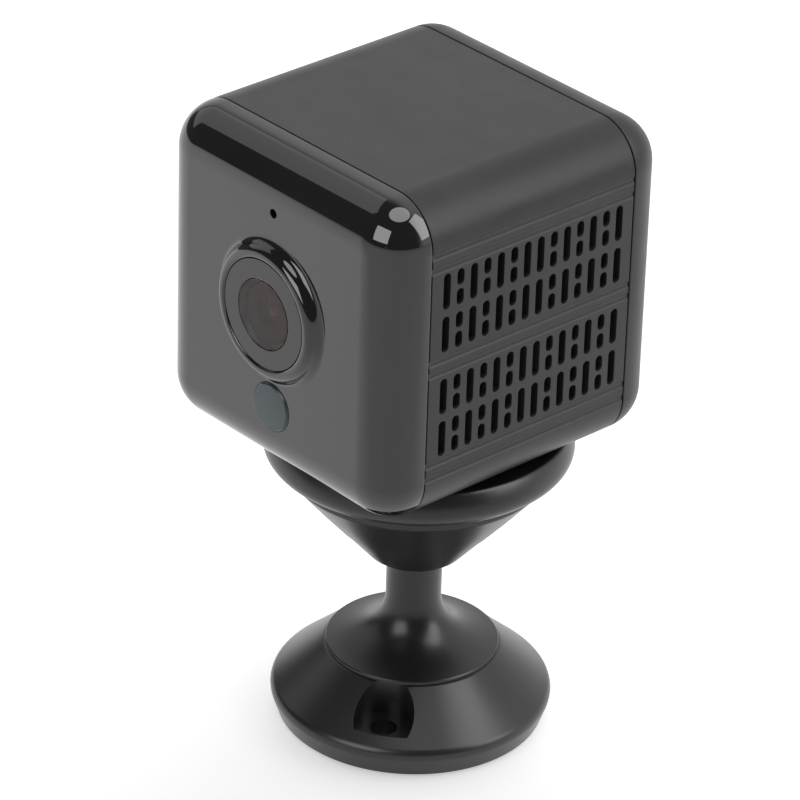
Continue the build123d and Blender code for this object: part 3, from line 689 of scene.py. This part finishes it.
def vent_cutters():
    """Long slots and pairs of short ones by turns, in two like halves and four rows."""
    shell = settings().shell
    long_slot = vent_cutter("long_slot", shell.vent_length, cube_centre)
    short_slot = vent_cutter("short_slot", shell.short_vent, cube_centre)
    cutters = []
    for row in vent_rows:
        for column in range(shell.columns):
            along = (column - (shell.columns - 1) / 2) * shell.vent_pitch
            if column % (shell.columns // 2) % 2 == 0:
                cutters.append(copy_at(long_slot, (0, along, row)))
                continue
            offset = (shell.vent_length - shell.short_vent) / 2
            cutters += [copy_at(short_slot, (0, along, row + side * offset)) for side in (-1, 1)]
    bpy.data.objects.remove(long_slot)
    bpy.data.objects.remove(short_slot)
    return cutters


def groove_cutters():
    """Thin rods, hardly sunk in the side walls, which leave shallow round grooves."""
    depth = settings().shell.groove_depth
    radius = 0.7 * mm
    run = housing_box[1].y - housing_box[0].y + 2 * mm
    cutters = []
    for side, wall_x in ((-1, cube_low.x), (1, cube_high.x)):
        for level in groove_levels:
            centre = (wall_x + side * (radius - depth), cube_centre.y, cube_centre.z + level)
            cutters.append(add_rod("groove", centre, radius, run, corners=48))
    return cutters


def vent_edges_on(wall_x):
    """Tells the crisp edges of the vents in one side wall."""
    crisp = sharp_edges_on(0, wall_x)

    def wanted(edge):
        away = edge.verts[0].co - cube_centre
        return crisp(edge) and abs(away.y) < vent_field[0] and abs(away.z) < vent_field[1]
    return wanted


def build_main_housing():
    piece = rounded_cube("housing_form")
    front, rear = housing_box[0].y, housing_box[1].y
    open_at(piece, rear, True)
    open_at(piece, front, False)
    thicken(piece, [front, rear])
    cut(piece, groove_cutters())
    cut(piece, vent_cutters())
    for wall_x in (cube_low.x, cube_high.x):
        bevel_edges(piece, vent_edges_on(wall_x), 0.07 * mm, 2)
    well = add_rod("keeper_well", (cube_centre.x, cube_centre.y, cube_low.z), 12.05 * mm, 2 * mm, "Z")
    cut(piece, [well])
    return finish_piece(piece, "housing_shell", "camera", "satin_black", "main_housing")


def screw_places():
    """The four rear screws, from the middle of the rear face."""
    return [(x * mm, (z - 20) * mm) for x in (-12.4, 12.4) for z in (14.2, 32.4)]


def rear_block(name, from_x, to_x, level, half, depth=4 * mm):
    """A block that reaches into the rear face, half its height either side of a level."""
    back = cube_high.y
    return add_block(name, (from_x, back - depth, level - half), (to_x, back + mm, level + half))


def build_rear_cover():
    shell = settings().shell
    seam = housing_box[1].y + shell.seam_gap
    back = cube_high.y
    piece = rounded_cube("rear_form")
    open_at(piece, seam, False)
    thicken(piece, [seam])
    usb = box_centre("usb_port")
    card = box_centre("memory_card")
    knob = box_centre("power_switch_knob")
    button = box_centre("reset_button")
    light = box_centre("status_light_pipe")
    usb_mouth = rear_block("usb_mouth", usb.x - 4.55 * mm, usb.x + 4.55 * mm, usb.z, 1.7 * mm)
    bevel_edges(usb_mouth, runs_along(1), 1.69 * mm, 10)
    slot_from, slot_to = knob.x - 1.5 * mm, knob.x + 3.5 * mm
    cutters = [
        usb_mouth,
        rear_block("card_mouth", card.x - 5.7 * mm, card.x + 5.7 * mm, card.z, 0.56 * mm),
        rear_block("switch_slot", slot_from, slot_to, knob.z, 1.05 * mm),
        add_rod("button_hole", (button.x, back, button.z), 1.33 * mm, 8 * mm, corners=64),
        add_rod("light_hole", (light.x, back, light.z), 0.78 * mm, 8 * mm, corners=48)]
    recess = rear_block("switch_recess", slot_from - 1.2 * mm, slot_to + 1.2 * mm, knob.z, 1.85 * mm, 0.6 * mm)
    bevel_edges(recess, runs_along(1), 0.8 * mm, 6)
    cut(piece, cutters)
    cut(piece, [recess])
    notch_radius = 3.2 * mm
    bpy.ops.object.select_all(action="DESELECT")
    bpy.ops.mesh.primitive_uv_sphere_add(segments=64, ring_count=32, radius=notch_radius,
                                         location=(card.x, back + 2.2 * mm, card.z))
    notch = bpy.context.object
    bpy.ops.object.transform_apply(location=True, rotation=True, scale=True)
    cut(piece, [notch])
    for x, z in screw_places():
        place = (cube_centre.x + x, back - 0.55 * mm, cube_centre.z + z)
        bpy.ops.object.select_all(action="DESELECT")
        bpy.ops.mesh.primitive_cone_add(vertices=64, radius1=1.1 * mm, radius2=2.05 * mm, depth=1.3 * mm,
                                        location=place, rotation=(-math.pi / 2, 0, 0))
        cone = bpy.context.object
        bpy.ops.object.transform_apply(location=True, rotation=True, scale=True)
        cut(piece, [cone])
        cut(piece, [add_rod("screw_hole", place, 1.1 * mm, 6 * mm, corners=48)])
    bevel_edges(piece, sharp_edges_on(1, back, least=40), 0.06 * mm, 2)
    return finish_piece(piece, "rear_cover_shell", "camera", "satin_black", "rear_cover")


# ---- lens group ----
def build_lens_bezel():
    """Raised ring round the lens, which runs out into the panel in a hollow blend."""
    lens = settings().lens
    top = lens.bezel_height
    ledge = 0.2 * mm
    inner = (lens.trim_radius + 0.05 * mm, 1.15 * mm)
    crest = (7.15 * mm, top)
    flank = (lens.bezel_radius, top / 2)
    outline = [(6.2 * mm, -1.45 * mm), (6.2 * mm, ledge), (inner[0], ledge), inner]
    outline += bend(inner, (inner[0] + 0.08 * mm, top), crest)
    outline += bend(crest, (7.8 * mm, top), flank)
    outline += bend(flank, (8.46 * mm, 0.03 * mm), (lens.bezel_blend, 0))
    outline += [(lens.bezel_blend, -0.08 * mm), (7.18 * mm, -0.08 * mm), (7.18 * mm, -1.45 * mm)]
    piece = turn_outline("bezel_ring", lens_centre, outline, axis="Y")
    return finish_piece(piece, "lens_bezel_ring", "camera", "gloss_black", "lens_bezel", angle=40)


def build_lens_trim():
    lens = settings().lens
    inside = lens.window_radius + 0.06 * mm
    outline = [(3.75 * mm, 0.2 * mm), (lens.trim_radius, 0.2 * mm), (lens.trim_radius, lens.trim_height),
               (inside, lens.trim_height), (inside, 0.35 * mm), (3.75 * mm, 0.35 * mm)]
    piece = turn_outline("trim_ring", lens_centre, soften(outline, 0.09 * mm), axis="Y")
    return finish_piece(piece, "lens_trim_ring", "camera", "gloss_black", "lens_trim", finish="trim_black")


def build_lens_window():
    lens = settings().lens
    radius = lens.window_radius
    outline = [(0, 0.36 * mm), (radius, 0.36 * mm), (radius, lens.trim_height), (0, lens.trim_height)]
    piece = turn_outline("window_disc", lens_centre, soften(outline, 0.09 * mm), axis="Y", closed=False)
    return finish_piece(piece, "lens_window_disc", "camera", "tinted_glass", "lens_window")


def build_lens_barrel():
    """Barrel with stepped light baffles down to the small front glass."""
    lens = settings().lens
    face = lens.barrel_front
    mouth = 1.9 * mm
    radius, level = mouth, face
    outline = [(3.3 * mm, face - 1.6 * mm), (3.3 * mm, face), (radius, face)]
    steps = 4
    for _ in range(steps):
        level -= 0.17 * mm
        outline.append((radius - 0.05 * mm, level))
        radius -= (mouth - lens.barrel_throat) / steps
        outline.append((radius, level))
    back = -10.5 * mm
    outline += [(lens.barrel_throat, back), (2.8 * mm, back), (2.8 * mm, face - 1.6 * mm)]
    piece = turn_outline("barrel", lens_centre, soften(outline, 0.03 * mm, 2), axis="Y", steps=96)
    return finish_piece(piece, "lens_barrel_baffle", "camera", "frame_black", "lens_barrel")


def build_front_glass():
    """Strongly domed front glass in the barrel's mouth."""
    lens = settings().lens
    radius = lens.barrel_throat - 0.02 * mm
    base = lens.barrel_front - 0.72 * mm
    quarter = [math.pi / 2 * index / 12 for index in range(13)]
    outline = [(radius * math.sin(angle), base + 0.42 * mm * math.cos(angle)) for angle in quarter]
    outline += [(radius, base - 1.6 * mm), (0, base - 1.6 * mm)]
    piece = turn_outline("front_glass", lens_centre, outline, axis="Y", closed=False, steps=64)
    return finish_piece(piece, "front_glass_dome", "camera", "clear_glass", "front_lens_element")


def build_sensor_lens():
    """Flat blue-grey disc of the movement sensor with a chamfered rim."""
    lens = settings().lens
    radius, edge = lens.sensor_radius, lens.sensor_edge
    proud = 0.25 * mm
    outline = [(0, -0.7 * mm), (2.5 * mm, -0.7 * mm), (2.5 * mm, -2.0 * mm), (3.6 * mm, -2.0 * mm),
               (3.6 * mm, -1.55 * mm), (radius, -1.55 * mm), (radius, proud - edge), (radius - edge, proud),
               (0, proud)]
    piece = turn_outline("sensor_disc", sensor_centre, soften(outline, 0.05 * mm), axis="Y", closed=False)
    return finish_piece(piece, "motion_sensor_disc", "camera", "sensor_blue", "motion_sensor_lens")


# ---- stand ----
def build_foot():
    stand = settings().stand
    top = stand.dish_level
    waist = (stand.foot_radius - 0.4 * mm, 4.1 * mm)
    belly = (stand.foot_radius, 2.6 * mm)
    outline = [(1.7 * mm, 4.15 * mm), (9.05 * mm, 4.15 * mm), (9.05 * mm, 0.92 * mm), (15.25 * mm, 0.92 * mm),
               (15.25 * mm, 0.3 * mm), (stand.foot_bottom, 0.3 * mm), belly]
    outline += bend(belly, (stand.foot_radius + 0.25 * mm, 3.5 * mm), waist)
    outline += [(stand.dish_radius + 0.15 * mm, top), (4.05 * mm, top), (4.05 * mm, 5.9 * mm),
                (1.7 * mm, 5.9 * mm)]
    piece = turn_outline("foot_cone", (0, 0, 0), soften(outline, 0.22 * mm), steps=192)
    for x, y in pocket_places():
        cut(piece, [add_rod("pocket", (x, y, 10 * mm), stand.pocket_radius, 10 * mm, "Z", 96)])
        cut(piece, [add_rod("screw_way", (x, y, 3 * mm), 1.6 * mm, 8 * mm, "Z", 64)])
    return finish_piece(piece, "foot_cone", "stand_foot", "stand_black", "foot")


def pocket_places():
    """Middles of the two opposite screw pockets."""
    circle = settings().stand.pocket_circle
    angles = (math.radians(-55.5), math.radians(124.5))
    return [(circle * math.cos(angle), circle * math.sin(angle)) for angle in angles]


def build_ball_stem():
    """Ball, stem and trumpet dish in one turned piece."""
    stand = settings().stand
    level = ball_centre.z
    neck = math.degrees(math.pi - math.asin(stand.stem_radius / stand.ball_radius))
    flare = (stand.stem_radius, 16.1 * mm)
    lip = (stand.dish_radius - 0.1 * mm, stand.dish_level + 0.45 * mm)
    outline = arc(stand.ball_radius, level, 0, neck, 40) + [flare]
    outline += bend(flare, (stand.stem_radius, 10.9 * mm), lip, 40)
    corner = [(stand.dish_radius, stand.dish_level + rise) for rise in (0.33 * mm, 0.02 * mm)]
    outline += corner + [(4.0 * mm, corner[-1][1]), (4.0 * mm, 6.0 * mm), (1.65 * mm, 6.0 * mm),
                         (1.65 * mm, 12.5 * mm), (0, 12.5 * mm)]
    piece = turn_outline("stem", (0, 0, 0), outline, closed=False, steps=160)
    return finish_piece(piece, "ball_stem_turned", "stand_foot", "stand_metal", "ball_stem", angle=28)


def build_head_shell():
    """Round head with a bulging wall, a ledge and the socket's upper half."""
    stand = settings().stand
    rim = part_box("head_shell")[1].z
    ledge = 34.7 * mm
    edge = (stand.head_radius, rim - 0.25 * mm)
    start = math.degrees(math.acos(0.4 * mm / stand.socket_radius))
    well = 35.4 * mm
    outline = [(0, well), (11.05 * mm, well), (11.05 * mm, rim - 0.8 * mm),
               (15.0 * mm, rim - 0.8 * mm), (15.0 * mm, rim), (stand.head_radius - 0.25 * mm, rim), edge]
    outline += bend(edge, (19.3 * mm, 35.9 * mm), (stand.ledge_radius, ledge), 30)
    outline += [(stand.neck_radius, ledge), (stand.neck_radius, 33.4 * mm), (7.9 * mm, 33.4 * mm),
                (7.9 * mm, ball_centre.z + 0.4 * mm)]
    outline = soften(outline, 0.16 * mm) + arc(stand.socket_radius, ball_centre.z, start, 0, 30)
    piece = turn_outline("head", (0, 0, 0), outline, closed=False, steps=192)
    return finish_piece(piece, "head_shell_turned", "stand_head", "stand_black", "head_shell")


def build_lock_nut():
    """Cone-shaped nut under the head with the socket's lower half."""
    stand = settings().stand
    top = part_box("lock_nut")[1].z
    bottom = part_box("lock_nut")[0].z
    bore = 7.95 * mm
    start = 180 - math.degrees(math.acos((ball_centre.z - bottom) / stand.socket_radius))
    outline = [(bore, top), (stand.nut_radius, top), (12.3 * mm, 29.45 * mm), (9.62 * mm, 26.38 * mm),
               (9.42 * mm, 26.25 * mm), (5.85 * mm, 22.15 * mm), (5.25 * mm, bottom)]
    outline = soften(outline, 0.18 * mm) + arc(stand.socket_radius, ball_centre.z, start, 90, 24)
    outline.append((bore, ball_centre.z))
    piece = turn_outline("nut", (0, 0, 0), outline, steps=192)
    return finish_piece(piece, "lock_nut_turned", "lock_nut", "stand_black", "lock_nut",
                        angle=24)


# ---- pieces carried over from the frame ----
def finish_carried_parts():
    """Gives every piece that keeps its own shape the finish of its slot."""
    slots = {row["node"]: row["material_slot"] for row in frame["record"]["subparts"]}
    for node, piece in frame["nodes"].items():
        if piece.hide_render:
            continue
        piece.data.materials.clear()
        piece.data.materials.append(finishes[slots[node]])


# ---- studio ----
def ray(azimuth, elevation):
    """Direction of length one at an azimuth from the cube's front and an angle above the floor."""
    level = math.cos(elevation)
    return Vector((math.sin(azimuth) * level, -math.cos(azimuth) * level, math.sin(elevation)))


def towards(azimuth, elevation, distance):
    """A place seen from the cube at an azimuth from its front and a height angle, both in degrees."""
    return cube_centre + distance * ray(math.radians(azimuth), math.radians(elevation))


def add_softbox(name, place, size, glow, shape="RECTANGLE", only=None):
    """An area light aimed at the cube. glow is its radiance; only="gloss" or "fill" limits what it lights."""
    light = bpy.data.lights.new(name, "AREA")
    light.shape = shape
    light.size, light.size_y = size
    light.energy = glow * math.pi * size[0] * size[1]
    lamp = bpy.data.objects.new(name, light)
    bpy.context.scene.collection.objects.link(lamp)
    lamp.location = place
    lamp.rotation_euler = (cube_centre - Vector(place)).to_track_quat("-Z", "Y").to_euler()
    lamp.visible_glossy = only != "fill"
    lamp.visible_diffuse = only != "gloss"


def add_floor():
    """White paper floor that glows a little; the side near the viewer falls off."""
    studio = settings().studio
    bpy.ops.object.select_all(action="DESELECT")
    bpy.ops.mesh.primitive_plane_add(size=8.0, location=(0, 0, 0))
    floor = bpy.context.object
    floor.name = "studio_floor"
    finish = Finish("studio_floor", 0.8)
    finish.mottled(settings().finish.floor_white, 0.01, 6)
    turn = finish.nodes.new("ShaderNodeVectorRotate")
    turn.rotation_type = "Z_AXIS"
    turn.inputs["Angle"].default_value = -studio.azimuth
    split = finish.nodes.new("ShaderNodeSeparateXYZ")
    finish.links.new(finish.place, turn.inputs["Vector"])
    finish.links.new(turn.outputs["Vector"], split.inputs["Vector"])
    fall = finish.spread(split.outputs["Y"], studio.near_glow, studio.floor_glow, -0.085, -0.005)
    finish.shader.inputs["Emission Color"].default_value = (1, 1, 1, 1)
    finish.links.new(fall, finish.shader.inputs["Emission Strength"])
    floor.data.materials.append(finish.uneven(0.05, 20).done())


def add_surroundings():
    """Bright paper behind and at the sides, darker room in front and above."""
    world = bpy.data.worlds.new("studio_room")
    bpy.context.scene.world = world
    world.use_nodes = True
    nodes, links = world.node_tree.nodes, world.node_tree.links
    place = nodes.new("ShaderNodeTexCoord")
    split = nodes.new("ShaderNodeSeparateXYZ")
    links.new(place.outputs["Generated"], split.inputs["Vector"])
    fade = nodes.new("ShaderNodeMapRange")
    fade.interpolation_type = "SMOOTHSTEP"
    fade.inputs["From Min"].default_value = 0.05
    fade.inputs["From Max"].default_value = 0.40
    fade.inputs["To Min"].default_value = 0.10
    fade.inputs["To Max"].default_value = 1.0
    links.new(split.outputs["Y"], fade.inputs["Value"])
    links.new(fade.outputs["Result"], nodes["Background"].inputs["Strength"])
    nodes["Background"].inputs["Color"].default_value = (1, 1, 1, 1)


def add_lights():
    add_softbox("front_softbox", towards(7, 26, 1.1), (0.70, 0.60), 3.5, only="gloss")
    add_softbox("right_softbox", towards(118, 36, 1.1), (0.56, 1.0), 3.3, only="gloss")
    add_softbox("top_disc", towards(60, 80, 1.0), (0.76, 0.66), 2.3, shape="ELLIPSE", only="gloss")
    add_softbox("left_softbox", towards(-80, 35, 1.4), (0.9, 0.9), 0.7)
    add_softbox("ceiling_fill", towards(0, 90, 1.6), (1.8, 1.8), 1.1, only="fill")


def add_view():
    studio = settings().studio
    roll = studio.roll
    back = ray(studio.azimuth, studio.elevation)
    right = Vector((math.cos(studio.azimuth), math.sin(studio.azimuth), 0))
    up = back.cross(right)
    turned_right = right * math.cos(roll) + up * math.sin(roll)
    turned_up = up * math.cos(roll) - right * math.sin(roll)
    lens = bpy.data.cameras.new("studio_view")
    lens.sensor_width = 36.0
    lens.lens = studio.focal_length
    lens.clip_start = 0.01
    lens.clip_end = 20.0
    view = bpy.data.objects.new("studio_view", lens)
    bpy.context.scene.collection.objects.link(view)
    matrix = Matrix((turned_right, turned_up, back)).transposed().to_4x4()
    matrix.translation = Vector(studio.target) + back * studio.distance
    view.matrix_world = matrix
    bpy.context.scene.camera = view


def build_stage():
    add_floor()
    add_surroundings()
    add_lights()
    add_view()
    bpy.context.scene.view_settings.view_transform = "Standard"


# ---- operators ----
class CUBECAM_OT_finishes(bpy.types.Operator):
    """Makes the procedural finishes"""
    bl_idname = "cubecam.finishes"
    bl_label = "Finishes"

    def execute(self, context):
        finishes.update(all_finishes())
        return {"FINISHED"}


class CUBECAM_OT_front_panel(bpy.types.Operator):
    """Builds the glossy front panel with its lens, sensor and microphone openings"""
    bl_idname = "cubecam.front_panel"
    bl_label = "Front Panel"

    def execute(self, context):
        build_front_panel()
        return {"FINISHED"}


class CUBECAM_OT_main_housing(bpy.types.Operator):
    """Builds the housing tube with its vents and side grooves"""
    bl_idname = "cubecam.main_housing"
    bl_label = "Main Housing"

    def execute(self, context):
        build_main_housing()
        return {"FINISHED"}


class CUBECAM_OT_rear_cover(bpy.types.Operator):
    """Builds the rear cover with its ports and controls"""
    bl_idname = "cubecam.rear_cover"
    bl_label = "Rear Cover"

    def execute(self, context):
        build_rear_cover()
        return {"FINISHED"}


class CUBECAM_OT_lens_group(bpy.types.Operator):
    """Builds the lens ring, flat ring, window, barrel and front glass"""
    bl_idname = "cubecam.lens_group"
    bl_label = "Lens Group"

    def execute(self, context):
        build_lens_bezel()
        build_lens_trim()
        build_lens_window()
        build_lens_barrel()
        build_front_glass()
        return {"FINISHED"}


class CUBECAM_OT_sensor_lens(bpy.types.Operator):
    """Builds the movement sensor's disc"""
    bl_idname = "cubecam.sensor_lens"
    bl_label = "Movement Sensor"

    def execute(self, context):
        build_sensor_lens()
        return {"FINISHED"}


class CUBECAM_OT_foot(bpy.types.Operator):
    """Builds the stand's round foot with its screw pockets"""
    bl_idname = "cubecam.foot"
    bl_label = "Foot"

    def execute(self, context):
        build_foot()
        return {"FINISHED"}


class CUBECAM_OT_ball_stem(bpy.types.Operator):
    """Builds the ball, stem and dish"""
    bl_idname = "cubecam.ball_stem"
    bl_label = "Ball Stem"

    def execute(self, context):
        build_ball_stem()
        return {"FINISHED"}


class CUBECAM_OT_head(bpy.types.Operator):
    """Builds the stand's magnetic head and its lock nut"""
    bl_idname = "cubecam.head"
    bl_label = "Head and Lock Nut"

    def execute(self, context):
        build_head_shell()
        build_lock_nut()
        return {"FINISHED"}


class CUBECAM_OT_carried_parts(bpy.types.Operator):
    """Gives the inner and small pieces their finishes"""
    bl_idname = "cubecam.carried_parts"
    bl_label = "Inner Parts"

    def execute(self, context):
        finish_carried_parts()
        return {"FINISHED"}


class CUBECAM_OT_stage(bpy.types.Operator):
    """Sets up the floor, lights, surroundings and view"""
    bl_idname = "cubecam.stage"
    bl_label = "Studio"

    def execute(self, context):
        build_stage()
        return {"FINISHED"}


operators = (
    CUBECAM_OT_finishes, CUBECAM_OT_front_panel, CUBECAM_OT_main_housing, CUBECAM_OT_rear_cover,
    CUBECAM_OT_lens_group, CUBECAM_OT_sensor_lens, CUBECAM_OT_foot, CUBECAM_OT_ball_stem, CUBECAM_OT_head,
    CUBECAM_OT_carried_parts, CUBECAM_OT_stage)


class CUBECAM_PT_panel(bpy.types.Panel):
    """Sidebar panel that lists the pieces and their settings"""
    bl_idname = "CUBECAM_PT_panel"
    bl_label = "Cube Camera"
    bl_space_type = "VIEW_3D"
    bl_region_type = "UI"
    bl_category = "Cube Camera"

    def draw(self, context):
        for operator in operators:
            self.layout.operator(operator.bl_idname)
        for group_name in ("shell", "lens", "stand", "finish", "studio"):
            group = getattr(settings(), group_name)
            box = self.layout.box()
            box.label(text=group_name.title())
            for key in group.__annotations__:
                box.prop(group, key)


classes = (ShellSettings, LensSettings, StandSettings, FinishSettings, StudioSettings, CubeCameraSettings,
           *operators, CUBECAM_PT_panel)


def register():
    for item in classes:
        bpy.utils.register_class(item)
    bpy.types.Scene.cube_camera = PointerProperty(type=CubeCameraSettings)


def unregister():
    del bpy.types.Scene.cube_camera
    for item in reversed(classes):
        bpy.utils.unregister_class(item)


def main():
    register()
    bpy.ops.object.select_all(action="DESELECT")
    for operator in operators:
        group, name = operator.bl_idname.split(".")
        getattr(getattr(bpy.ops, group), name)()


if __name__ == "__main__":
    main()
